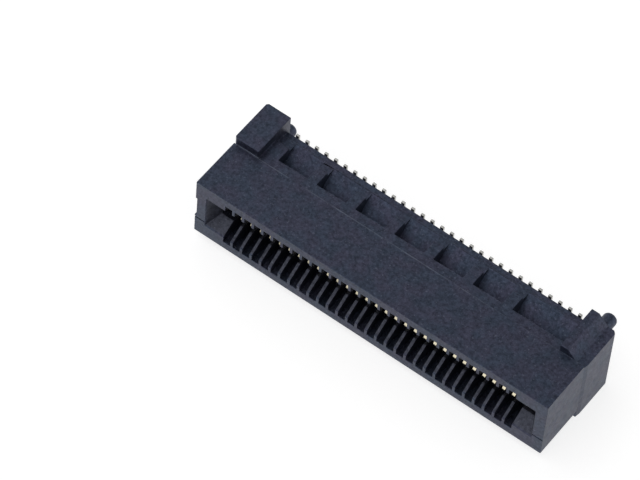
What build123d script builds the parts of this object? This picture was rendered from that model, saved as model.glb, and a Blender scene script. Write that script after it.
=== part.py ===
from build123d import *
import os

os.makedirs("parts", exist_ok=True)

# Edge card socket for a board edge 1.6 mm thick, two rows of 30 surface-mount contacts.
# It lies on its long side, as it would on a bench.
# X runs along the rows, -Y is the mouth that takes the card, +Y is the circuit board, +Z is up.
# The origin is where the card's middle plane, the board's face and the middle of the rows meet.

# Rows of contacts
pitch = 0.8
positions = 30
end_margin = 2.72          # from the last contact's centre to the body's end face

# Body of the moulding
body_thickness = 5.48
overall_depth = 7.8        # from the mouth's face to the board
front_depth = 4.16         # from the mouth's face to the ridge
shelf_drop = 0.15          # the part behind the ridge stands this much lower
shelf_depth = 0.78
back_gap = 0.27            # clear space between the body's back and the board

# Waist with ribs, behind the shelf
waist_wall = 0.25          # plastic between the stems' passages and the waist
crest_half = 2.24          # from the card's middle plane to the crest's top
crest_from_back = 0.63     # from the body's back to the crest's front edge
crest_width = 0.14
ledge_drop = 0.17          # the ledge at the back stands this much lower than the crest
ramp_run = 1.2             # depth that the ramp takes to climb from the waist to the crest
rib_width = 0.8
rib_reach = 1.26           # how far the tall end of a rib runs behind the shelf
rib_step = 4               # a rib stands at every fourth contact

# Feet at both ends
foot_width = 2.0
foot_rise = 0.65           # the feet stand this much above the body's sides
foot_corner = 0.15         # chamfer on the square foot's outer edges
bevelled_foot_top = 0.6    # flat top of the foot whose outer side slopes down
lug = 0.07                 # the bevelled foot reaches this much past the body's end
lug_run = 0.4              # it slopes out to that over this depth
lug_corner = 0.2           # chamfer on its outer corner, beside the board

# Board pegs
peg_diameter = 1.06
peg_length = 1.5
peg_dome = 0.32            # rounding of the peg's end
peg_from_end = 1.18        # from the body's end face to the peg's centre
peg_offset = 1.45          # one peg stands off centre, so the socket fits the board one way only

# Mouth and card slot
card_thickness = 1.6
card_clearance = 0.05      # between the card's face and the slot's wall
slot_depth = 4.65
slot_end_wall = 1.44       # from the body's end face to the slot's end
mouth_lip = 1.18           # thickness of each lip at the mouth's face
mouth_end_wall = 0.84      # from the body's end face to the mouth's end
lead_in_depth = 1.12

# Contact cavities, and the passages that the stems run through
cavity_side_gap = 0.15     # between a contact and the cavity's side wall
lip_over_cavity = 0.69     # plastic left outside a cavity
cavity_depth = 4.55
passage_wall = 0.05        # plastic between the slot and a passage
stem_clearance = 0.01      # between a stem and the walls of its passage

# Contacts
contact_width = 0.28
contact_thickness = 0.18
tip_behind_lead_in = 0.59  # from the end of the lead-in to the end of a contact's tip
tip_half = 1.25            # from the card's middle plane to the end of the tip
tip_run = 0.62             # the tip slopes up to the nose over this depth and guides the card in
nose_spread = 0.44         # how far a card pushes two facing noses apart
nose_radius = 0.28
root_inset = 0.25          # the beam bends into its stem this far before the cavity's end
knee_bend = 0.12           # size of the slanting piece between a stem and its tail
tail_half = 2.14           # from the card's middle plane to the end of the soldered tail

# Small marks of the mould
gate_height = 1.84         # shallow recess on one end face
gate_length = 2.6
gate_depth = 0.12
witness_width = 0.09       # fine line on the mouth's face where two mould parts met
witness_depth = 0.05
witness_drop = 1.2         # below the card's middle plane

# Values worked out from the ones above
row_length = (positions - 1) * pitch
body_end = row_length / 2 + end_margin
body_half = body_thickness / 2
mouth_face = -overall_depth
ridge = mouth_face + front_depth
body_back = -back_gap
slot_half = card_thickness / 2 + card_clearance
slot_end = body_end - slot_end_wall
lead_in_end = mouth_face + lead_in_depth
mouth_half = body_half - mouth_lip
mouth_end = body_end - mouth_end_wall
cavity_half = body_half - lip_over_cavity
cavity_width = contact_width + 2 * cavity_side_gap
cavity_end = mouth_face + cavity_depth
passage_width = contact_width + 2 * stem_clearance
passage_height = contact_thickness + 2 * stem_clearance
passage_half = slot_half + passage_wall + passage_height / 2
waist_half = passage_half + passage_height / 2 + waist_wall
shelf_half = body_half - shelf_drop
shelf_back = ridge + shelf_depth
crest_front = body_back - crest_from_back
crest_back = crest_front + crest_width
ramp_foot = crest_front - ramp_run
ledge_half = crest_half - ledge_drop
foot_half = body_half + foot_rise
foot_inner_face = body_end - foot_width
first_contact = -row_length / 2
contact_places = [first_contact + pitch * n for n in range(positions)]
rib_count = (positions - 1) // rib_step
rib_places = [first_contact + rib_step * pitch * n for n in range(rib_count)]


def across(x):
    """Plane across the rows at x: its own X is +Y, its own Y is +Z."""
    return Plane(origin=(x, 0, 0), x_dir=(0, 1, 0), z_dir=(1, 0, 0))


def facing_mouth(y):
    """Plane parallel to the board at y: its own X is +X, its own Y is +Z, its normal is -Y."""
    return Plane(origin=(0, y, 0), x_dir=(1, 0, 0), z_dir=(0, -1, 0))


# Front of the body, a plain bar from one end face to the other
with BuildPart() as front_bar:
    with BuildSketch(facing_mouth(ridge)):
        Rectangle(2 * body_end, body_thickness)
    extrude(amount=front_depth)

# Back of the body between the feet: shelf, waist, ramp, crest and ledge, the same above and below
with BuildPart() as back_bar:
    with BuildSketch(across(0)):
        with BuildLine():
            Polyline(
                (ridge, 0),
                (ridge, shelf_half),
                (shelf_back, shelf_half),
                (shelf_back, waist_half),
                (ramp_foot, waist_half),
                (crest_front, crest_half),
                (crest_back, crest_half),
                (crest_back, ledge_half),
                (body_back, ledge_half),
                (body_back, 0),
                close=True,
            )
        make_face()
        mirror(about=Plane.XZ)
    extrude(amount=foot_inner_face, both=True)


def rib(start, end):
    """Bridges the waist between two places along the rows: tall at the shelf, low at the crest."""
    with BuildPart() as bridge:
        with BuildSketch(across(start)):
            with BuildLine():
                Polyline(
                    (shelf_back, 0),
                    (shelf_back, shelf_half),
                    (shelf_back + rib_reach, shelf_half),
                    (shelf_back + rib_reach, crest_half),
                    (crest_front, crest_half),
                    (crest_front, 0),
                    close=True,
                )
            make_face()
            mirror(about=Plane.XZ)
        extrude(amount=end - start)
    return bridge.part


# The first rib is joined to the square foot
with BuildPart() as ribs:
    add(rib(-foot_inner_face, rib_places[0]))
    for place in rib_places:
        add(rib(place - rib_width / 2, place + rib_width / 2))

# Square foot at the left end
with BuildPart() as square_foot:
    with BuildSketch(facing_mouth(0)):
        with Locations((-body_end + foot_width / 2, 0)):
            Rectangle(foot_width, 2 * foot_half)
    extrude(amount=-ridge)
    outer_edges = square_foot.edges().filter_by(Axis.Z).group_by(Axis.X)[0]
    chamfer(outer_edges, foot_corner)

# Foot at the right end: on its upper side it slopes down to the level of the shelf
with BuildPart() as bevelled_foot:
    slope_run = foot_half - shelf_half
    with BuildSketch(facing_mouth(0)):
        with BuildLine():
            Polyline(
                (foot_inner_face, -foot_half),
                (foot_inner_face, foot_half),
                (foot_inner_face + bevelled_foot_top, foot_half),
                (foot_inner_face + bevelled_foot_top + slope_run, shelf_half),
                (body_end + lug, shelf_half),
                (body_end + lug, -foot_half),
                close=True,
            )
        make_face()
    extrude(amount=-ridge)
    with BuildSketch(Plane.XY):
        with BuildLine():
            Polyline(
                (foot_inner_face, ridge),
                (body_end, ridge),
                (body_end + lug, ridge + lug_run),
                (body_end + lug, -lug_corner),
                (body_end + lug - lug_corner, 0),
                (foot_inner_face, 0),
                close=True,
            )
        make_face()
    extrude(amount=foot_half, both=True, mode=Mode.INTERSECT)


def peg(x, z):
    """Round board peg with a rounded end, from the board's face outwards."""
    with BuildPart() as pin:
        with BuildSketch(Plane(origin=(x, 0, z), x_dir=(1, 0, 0), z_dir=(0, 1, 0))):
            Circle(peg_diameter / 2)
        extrude(amount=peg_length)
        fillet(pin.edges().sort_by(Axis.Y)[-1], peg_dome)
    return pin.part


# Mouth: lead-in slopes on all four sides, then the card slot
with BuildPart() as mouth:
    with BuildSketch(facing_mouth(mouth_face)):
        Rectangle(2 * mouth_end, 2 * mouth_half)
    with BuildSketch(facing_mouth(lead_in_end)):
        Rectangle(2 * slot_end, 2 * slot_half)
    loft(ruled=True)
    with BuildSketch(facing_mouth(lead_in_end)):
        Rectangle(2 * slot_end, 2 * slot_half)
    extrude(amount=-(slot_depth - lead_in_depth))

# Cavities for the contacts, open to the mouth's face and to the slot
with BuildPart() as cavities:
    with BuildSketch(facing_mouth(cavity_end)):
        for x in contact_places:
            with Locations((x, 0)):
                Rectangle(cavity_width, 2 * cavity_half)
    extrude(amount=cavity_depth)

# Passages from the cavities to the body's back
with BuildPart() as passages:
    with BuildSketch(facing_mouth(body_back)):
        for x in contact_places:
            with Locations((x, passage_half), (x, -passage_half)):
                Rectangle(passage_width, passage_height)
    extrude(amount=body_back - cavity_end)

# Shallow gate recess on the left end face
with BuildPart() as gate:
    with BuildSketch(across(-body_end)):
        with Locations((mouth_face + gate_length / 2, 0)):
            Rectangle(gate_length, gate_height)
    extrude(amount=gate_depth)

# Witness lines on the mouth's face, one beside each end of the mouth
with BuildPart() as witness:
    with BuildSketch(facing_mouth(mouth_face)):
        for side in (-1, 1):
            with Locations((side * (body_end + mouth_end) / 2, -witness_drop)):
                Rectangle(mouth_end_wall, witness_width)
    extrude(amount=-witness_depth)

with BuildPart() as housing:
    add(front_bar.part)
    add(back_bar.part)
    add(ribs.part)
    add(square_foot.part)
    add(bevelled_foot.part)
    add(peg(-body_end + peg_from_end, 0))
    add(peg(body_end - peg_from_end, peg_offset))
    add(mouth.part, mode=Mode.SUBTRACT)
    add(cavities.part, mode=Mode.SUBTRACT)
    add(passages.part, mode=Mode.SUBTRACT)
    add(gate.part, mode=Mode.SUBTRACT)
    add(witness.part, mode=Mode.SUBTRACT)

housing.part.label = "housing"
export_step(housing.part, "parts/housing.step")


def contact(x, side):
    """One contact, centred on x: side is 1 in the upper row and -1 in the lower row."""
    tip = lead_in_end + tip_behind_lead_in
    nose_half = (card_thickness - nose_spread + contact_thickness) / 2
    tail_line = -contact_thickness / 2
    with BuildPart() as strip:
        with BuildSketch(across(x)):
            with BuildLine():
                FilletPolyline(
                    (tip, side * tip_half),
                    (tip + tip_run, side * nose_half),
                    (cavity_end - root_inset, side * passage_half),
                    (tail_line - knee_bend, side * passage_half),
                    (tail_line, side * (passage_half + knee_bend)),
                    (tail_line, side * tail_half),
                    radius=[nose_radius, 0, 0, 0],
                )
            trace(line_width=contact_thickness)
        extrude(amount=contact_width / 2, both=True)
    return strip.part


for n, x in enumerate(contact_places):
    with BuildPart() as contact_pair:
        add(contact(x, 1))
        add(contact(x, -1))
    name = f"contact_pair_{n + 1:02d}"
    contact_pair.part.label = name
    export_step(contact_pair.part, f"parts/{name}.step")
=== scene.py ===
"""Looks of the edge card socket: dark moulded plastic, gold and tin contacts, a white studio."""

import math

import bpy
from mathutils import Matrix, Vector


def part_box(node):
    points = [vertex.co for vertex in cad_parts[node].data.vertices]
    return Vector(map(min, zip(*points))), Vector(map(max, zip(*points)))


MM = 0.001

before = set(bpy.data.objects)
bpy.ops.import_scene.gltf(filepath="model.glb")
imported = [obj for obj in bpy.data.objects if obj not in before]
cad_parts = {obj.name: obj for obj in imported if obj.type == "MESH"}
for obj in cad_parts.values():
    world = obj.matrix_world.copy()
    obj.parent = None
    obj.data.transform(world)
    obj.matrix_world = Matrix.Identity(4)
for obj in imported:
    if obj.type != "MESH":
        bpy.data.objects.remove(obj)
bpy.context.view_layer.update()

scene = bpy.context.scene
scene.view_settings.view_transform = "Standard"

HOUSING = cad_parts["housing"]
CONTACTS = [node for name, node in sorted(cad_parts.items()) if name.startswith("contact_pair")]

# Places where a finish changes, in millimetres in the part's own frame
RIDGE_Y = -3.64             # where the front of the body ends
BODY_TOP_Z = 2.74           # the body's upper side; the feet stand above it
MOUTH_HALF_HEIGHT = 1.56
MOUTH_HALF_LENGTH = 13.48
SLOT_BOTTOM_Y = -3.15       # where a card stops
PLATING_CHANGE_Y = -1.5     # gold in front of this, tin behind it

# Colours of the plastic
PLASTIC_DARK = (0.0045, 0.006, 0.010)
PLASTIC_PALE = (0.007, 0.0075, 0.013)
GLASS_SPECK = (0.05, 0.054, 0.07)
# Lighter colour of a painted highlight along the ridge where the front of the body ends
PAINTED_RIDGE_HIGHLIGHT = (0.07, 0.08, 0.1)

# Tints of its sheen
BLUE_SHEEN = (0.52, 0.66, 1.0)
VIOLET_SHEEN = (0.61, 0.645, 1.0)
# Greyer sheen tint given only inside the mouth, where the plastic is the same: painted
# reflection
PAINTED_MOUTH_SHEEN = (0.605, 0.64, 0.82)

# Colours of the platings
GOLD = (0.80, 0.73, 0.54)
TIN = (0.48, 0.475, 0.455)

# Rounding of sharp edges
HOUSING_EDGE = 0.035 * MM
CONTACT_EDGE = 0.045 * MM

# Studio
FLOOR_RADIUS = 1.5
FLOOR_PAINT = (0.42, 0.42, 0.42)
FLOOR_GLOW_SEEN = 0.75      # seen by the camera
FLOOR_GLOW_MIRRORED = 0.66  # seen in a reflection or through something clear
LAMP_DISTANCE = 0.5


# Small helpers for node materials

def empty_material(name):
    """A node material that holds only its output."""
    material = bpy.data.materials.new(name)
    material.use_nodes = True
    tree = material.node_tree
    tree.nodes.clear()
    return material, tree, tree.nodes.new("ShaderNodeOutputMaterial")


def principled_material(name):
    """A node material with a Principled shader."""
    material, tree, output = empty_material(name)
    shader = tree.nodes.new("ShaderNodeBsdfPrincipled")
    tree.links.new(shader.outputs["BSDF"], output.inputs["Surface"])
    return material, tree, shader


def object_position(tree):
    """The point on the object, in millimetres in the part's own frame."""
    where = tree.nodes.new("ShaderNodeTexCoord")
    scale = tree.nodes.new("ShaderNodeVectorMath")
    scale.operation = "SCALE"
    scale.inputs["Scale"].default_value = 1 / MM
    tree.links.new(where.outputs["Object"], scale.inputs[0])
    return scale.outputs["Vector"]


def axes(tree, vector):
    """The X, Y and Z of a vector."""
    split = tree.nodes.new("ShaderNodeSeparateXYZ")
    tree.links.new(vector, split.inputs["Vector"])
    return split.outputs["X"], split.outputs["Y"], split.outputs["Z"]


def noise(tree, position, per_mm, detail=2.0, roughness=0.5):
    """Noise with about per_mm features in a millimetre."""
    node = tree.nodes.new("ShaderNodeTexNoise")
    node.inputs["Scale"].default_value = per_mm
    node.inputs["Detail"].default_value = detail
    node.inputs["Roughness"].default_value = roughness
    tree.links.new(position, node.inputs["Vector"])
    return node.outputs["Fac"]


def spread(tree, value, low, high, from_low=0.0, from_high=1.0):
    """value moved from one range to another, held at the ends."""
    node = tree.nodes.new("ShaderNodeMapRange")
    node.inputs["From Min"].default_value = from_low
    node.inputs["From Max"].default_value = from_high
    node.inputs["To Min"].default_value = low
    node.inputs["To Max"].default_value = high
    tree.links.new(value, node.inputs["Value"])
    return node.outputs["Result"]


def rise(tree, value, start, end):
    """0 up to start, 1 from end on."""
    return spread(tree, value, 0, 1, start, end)


def fall(tree, value, start, end):
    """1 up to start, 0 from end on."""
    return spread(tree, value, 1, 0, start, end)


def vary(tree, noise_value, low, high):
    """Noise spread over a range; nearly all of it lies between 0.3 and 0.7 before."""
    return spread(tree, noise_value, low, high, 0.3, 0.7)


def combine(tree, operation, first, second=0):
    """Arithmetic on one or two values; the second may be a plain number."""
    node = tree.nodes.new("ShaderNodeMath")
    node.operation = operation
    tree.links.new(first, node.inputs[0])
    if isinstance(second, (int, float)):
        node.inputs[1].default_value = second
    else:
        tree.links.new(second, node.inputs[1])
    return node.outputs["Value"]


def multiply(tree, first, *others):
    """All the values multiplied with each other."""
    product = first
    for value in others:
        product = combine(tree, "MULTIPLY", product, value)
    return product


def near(tree, value, place, full_within, gone_beyond):
    """1 where value is close to a place, fading to 0 away from it."""
    away = combine(tree, "ABSOLUTE", combine(tree, "SUBTRACT", value, place))
    return fall(tree, away, full_within, gone_beyond)


def mix_colour(tree, factor, first, second):
    """A colour between two others, each plain or from another node."""
    node = tree.nodes.new("ShaderNodeMix")
    node.data_type = "RGBA"
    for side, colour in (("A", first), ("B", second)):
        if isinstance(colour, tuple):
            node.inputs[side].default_value = (*colour, 1)
        else:
            tree.links.new(colour, node.inputs[side])
    tree.links.new(factor, node.inputs["Factor"])
    return node.outputs["Result"]


def bump(tree, height, distance):
    """Bump of that distance in metres."""
    node = tree.nodes.new("ShaderNodeBump")
    node.inputs["Distance"].default_value = distance
    node.inputs["Strength"].default_value = 1.0
    tree.links.new(height, node.inputs["Height"])
    return node.outputs["Normal"]


# Dark moulded plastic

def painted_ridge_highlight(tree, position):
    """1 on the thin edge where the front of the body ends, patchy and mostly on the left, and 0
    elsewhere: the mask of a painted highlight along the ridge.
    """
    x, y, z = axes(tree, position)
    on_line = near(tree, y, RIDGE_Y, full_within=0.055, gone_beyond=0.11)
    on_top = near(tree, z, BODY_TOP_Z, full_within=0.04, gone_beyond=0.08)
    # Breaks the painted highlight into patches
    patchy = rise(tree, noise(tree, position, per_mm=0.6, detail=3.0), 0.38, 0.6)
    mostly_left = spread(tree, x, 1, 0.15, from_low=4.0, from_high=9.0)
    return multiply(tree, on_line, on_top, patchy, mostly_left)


def inside_mouth(tree, position):
    """1 on the walls of the mouth and the card slot, and 0 on the outside."""
    x, y, z = axes(tree, position)
    between_lips = near(tree, z, 0, MOUTH_HALF_HEIGHT - 0.1, MOUTH_HALF_HEIGHT)
    between_ends = near(tree, x, 0, MOUTH_HALF_LENGTH - 0.1, MOUTH_HALF_LENGTH)
    before_bottom = fall(tree, y, SLOT_BOTTOM_Y + 0.05, SLOT_BOTTOM_Y + 0.15)
    return multiply(tree, between_lips, between_ends, before_bottom)


def moulded_plastic():
    """Blue-black satin plastic, mottled and specked by its glass filling."""
    material, tree, shader = principled_material("moulded_plastic")
    position = object_position(tree)
    mottle = noise(tree, position, per_mm=1.6, detail=5.0, roughness=0.7)
    cloud = noise(tree, position, per_mm=0.7)
    grain = noise(tree, position, per_mm=4.5, detail=3.0, roughness=0.75)
    filling = noise(tree, position, per_mm=6.5, detail=1.0)
    inside = inside_mouth(tree, position)

    colour = mix_colour(tree, rise(tree, mottle, 0.35, 0.65), PLASTIC_DARK, PLASTIC_PALE)
    colour = mix_colour(tree, rise(tree, filling, 0.66, 0.74), colour, GLASS_SPECK)
    # Painted highlight: a lighter line along the ridge's edge, uneven and fading towards the
    # right
    colour = mix_colour(tree, painted_ridge_highlight(tree, position), colour, PAINTED_RIDGE_HIGHLIGHT)
    tree.links.new(colour, shader.inputs["Base Color"])

    sheen = mix_colour(tree, rise(tree, cloud, 0.4, 0.6), BLUE_SHEEN, VIOLET_SHEEN)
    # Painted reflection: a greyer sheen tint inside the mouth than outside
    sheen = mix_colour(tree, inside, sheen, PAINTED_MOUTH_SHEEN)
    tree.links.new(sheen, shader.inputs["Specular Tint"])

    level = multiply(
        tree,
        vary(tree, grain, 0.55, 1.6),
        vary(tree, mottle, 0.88, 1.12),
        # Painted reflection: a 12 per cent stronger sheen inside the mouth
        spread(tree, inside, 1, 1.12),
    )
    tree.links.new(level, shader.inputs["Specular IOR Level"])
    tree.links.new(vary(tree, mottle, 0.40, 0.56), shader.inputs["Roughness"])
    tree.links.new(bump(tree, grain, 0.006 * MM), shader.inputs["Normal"])
    shader.inputs["IOR"].default_value = 1.5
    return material


# Contacts

def plated_metal():
    """Gold at the nose and the beam, tin at the tail."""
    material, tree, shader = principled_material("plated_contact")
    position = object_position(tree)
    y = axes(tree, position)[1]
    tail = rise(tree, y, PLATING_CHANGE_Y - 0.3, PLATING_CHANGE_Y + 0.3)
    tree.links.new(mix_colour(tree, tail, GOLD, TIN), shader.inputs["Base Color"])
    grain = noise(tree, position, per_mm=12.0)
    tree.links.new(spread(tree, grain, 0.10, 0.16), shader.inputs["Roughness"])
    tree.links.new(bump(tree, grain, 0.001 * MM), shader.inputs["Normal"])
    shader.inputs["Metallic"].default_value = 1.0
    return material


def soften_edges(obj, width):
    """Rounds the sharp edges of a piece a little."""
    weld = obj.modifiers.new("weld", "WELD")
    weld.merge_threshold = 0.0005 * MM
    edge = obj.modifiers.new("soft_edges", "BEVEL")
    edge.width = width
    edge.segments = 2
    edge.limit_method = "ANGLE"
    edge.angle_limit = math.radians(30)
    edge.harden_normals = True
    edge.miter_outer = "MITER_ARC"


def dress(obj, material):
    obj.data.materials.clear()
    obj.data.materials.append(material)


dress(HOUSING, moulded_plastic())
soften_edges(HOUSING, HOUSING_EDGE)
metal = plated_metal()
for contact in CONTACTS:
    dress(contact, metal)
    soften_edges(contact, CONTACT_EDGE)


# White floor that keeps a light shadow, a pale room around it, and four soft lamps

def floor_material():
    """Pale paint that takes the shadow, with a glow that makes it white."""
    material, tree, output = empty_material("white_floor")
    paint = tree.nodes.new("ShaderNodeBsdfDiffuse")
    paint.inputs["Color"].default_value = (*FLOOR_PAINT, 1)
    rays = tree.nodes.new("ShaderNodeLightPath")
    seen = spread(tree, rays.outputs["Is Camera Ray"], 0, FLOOR_GLOW_SEEN)
    mirrored = spread(tree, rays.outputs["Is Glossy Ray"], 0, FLOOR_GLOW_MIRRORED)
    seen_through = spread(tree, rays.outputs["Is Transmission Ray"], 0, FLOOR_GLOW_MIRRORED)
    strength = combine(tree, "MAXIMUM", seen, combine(tree, "MAXIMUM", mirrored, seen_through))
    glow = tree.nodes.new("ShaderNodeEmission")
    tree.links.new(strength, glow.inputs["Strength"])
    both = tree.nodes.new("ShaderNodeAddShader")
    tree.links.new(paint.outputs["BSDF"], both.inputs[0])
    tree.links.new(glow.outputs["Emission"], both.inputs[1])
    tree.links.new(both.outputs["Shader"], output.inputs["Surface"])
    return material


def add_floor(height):
    bpy.ops.mesh.primitive_circle_add(
        vertices=64,
        radius=FLOOR_RADIUS,
        fill_type="NGON",
        location=(0, 0, height),
    )
    floor = bpy.context.object
    floor.name = "floor"
    dress(floor, floor_material())


def light_room(at_horizon, overhead):
    """World light that fades from the horizon to the ceiling; the camera sees it white."""
    world = bpy.data.worlds.new("pale_room")
    world.use_nodes = True
    scene.world = world
    tree = world.node_tree
    tree.nodes.clear()
    output = tree.nodes.new("ShaderNodeOutputWorld")
    background = tree.nodes.new("ShaderNodeBackground")
    background.inputs["Color"].default_value = (1, 1, 1, 1)
    towards = tree.nodes.new("ShaderNodeTexCoord")
    z = axes(tree, towards.outputs["Generated"])[2]
    fade = spread(tree, z, at_horizon, overhead, from_low=0.1, from_high=0.8)
    rays = tree.nodes.new("ShaderNodeLightPath")
    strength = tree.nodes.new("ShaderNodeMix")
    tree.links.new(rays.outputs["Is Camera Ray"], strength.inputs["Factor"])
    tree.links.new(fade, strength.inputs["A"])
    strength.inputs["B"].default_value = 1.0
    tree.links.new(strength.outputs["Result"], background.inputs["Strength"])
    tree.links.new(background.outputs["Background"], output.inputs["Surface"])


def direction(azimuth, elevation):
    """Unit vector away from the part; azimuth 0 is the mouth's side, angles in degrees."""
    a, e = math.radians(azimuth), math.radians(elevation)
    return Vector((math.sin(a) * math.cos(e), -math.cos(a) * math.cos(e), math.sin(e)))


def looking_back(outward, distance, target=(0, 0, 0), roll=0):
    """Placement of a lamp or camera that looks at the target against the outward direction."""
    turn = outward.to_track_quat("Z", "Y").to_matrix().to_4x4()
    turn = turn @ Matrix.Rotation(math.radians(roll), 4, "Z")
    return Matrix.Translation(Vector(target) + outward * distance) @ turn


def add_soft_lamp(name, azimuth, elevation, width, height, radiance):
    data = bpy.data.lights.new(name, "AREA")
    data.shape = "RECTANGLE"
    data.size = width
    data.size_y = height
    data.energy = radiance * math.pi * width * height
    lamp = bpy.data.objects.new(name, data)
    scene.collection.objects.link(lamp)
    lamp.matrix_world = looking_back(direction(azimuth, elevation), LAMP_DISTANCE)


floor_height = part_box("housing")[0].z
add_floor(floor_height)
light_room(at_horizon=0.55, overhead=0.33)
add_soft_lamp("front_lamp", azimuth=-4.7, elevation=30, width=0.23, height=0.16, radiance=0.67)
add_soft_lamp("front_fill", azimuth=-28, elevation=67, width=0.55, height=0.36, radiance=1.15)
add_soft_lamp("left_lamp", azimuth=-112, elevation=48, width=0.45, height=0.4, radiance=0.55)
add_soft_lamp("right_lamp", azimuth=120, elevation=20, width=0.4, height=0.25, radiance=0.6)


# Camera: the photo was taken from the front right, looking well down on the socket

def add_camera(azimuth, elevation, roll, distance, target, lens):
    """Angles in degrees, distance and target in metres, lens in millimetres."""
    data = bpy.data.cameras.new("camera")
    data.lens = lens
    data.sensor_width = 36
    data.clip_start = 0.01
    camera = bpy.data.objects.new("camera", data)
    scene.collection.objects.link(camera)
    camera.matrix_world = looking_back(direction(azimuth, elevation), distance, target, roll)
    scene.camera = camera


add_camera(
    azimuth=32.21,
    elevation=55.17,
    roll=5.4,
    distance=295.2 * MM,
    target=(-6.11 * MM, -4.80 * MM, 0),
    lens=248.6,
)
